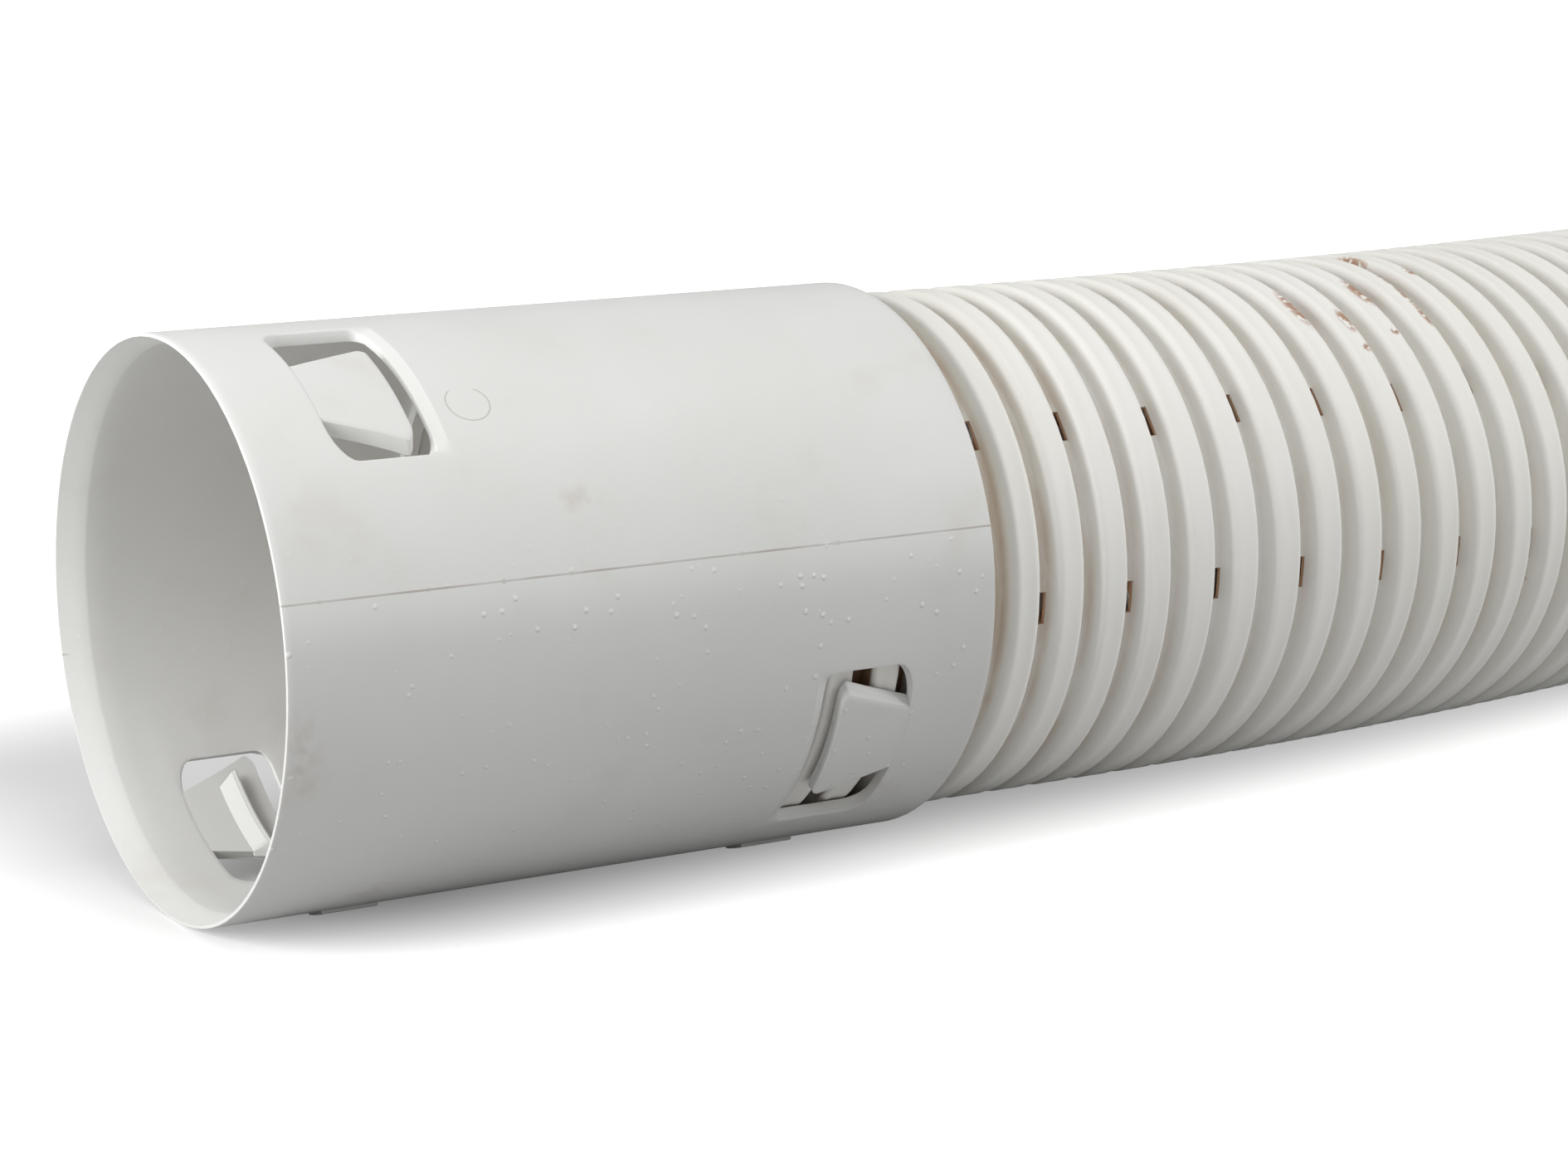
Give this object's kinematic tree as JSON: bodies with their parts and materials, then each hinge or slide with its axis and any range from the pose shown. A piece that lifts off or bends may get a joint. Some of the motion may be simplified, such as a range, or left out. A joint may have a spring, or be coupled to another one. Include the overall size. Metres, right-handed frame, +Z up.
{
  "type": "corrugated drainage pipe",
  "caption": "Corrugated plastic drainage pipe with drain slots in its grooves, its end pushed into a smooth snap coupling sleeve with latch tongues.",
  "frame": {"origin": "on the sleeve's axis, where the lead-in of its open mouth ends and its bore begins", "axes": "+X along the pipe's long straight run, away from the sleeve; +Z up; -Y the near side in the picture"},
  "size_m": [1.0804, 0.1491, 0.105],
  "materials": {
    "pipe_plastic": "ribbed, slightly glossy, off-white",
    "sleeve_plastic": "smooth moulded, pale grey"
  },
  "bodies": {
    "root": {"drain_pipe": "pipe_plastic", "coupling_sleeve": "sleeve_plastic"}
  },
  "joints": []
}
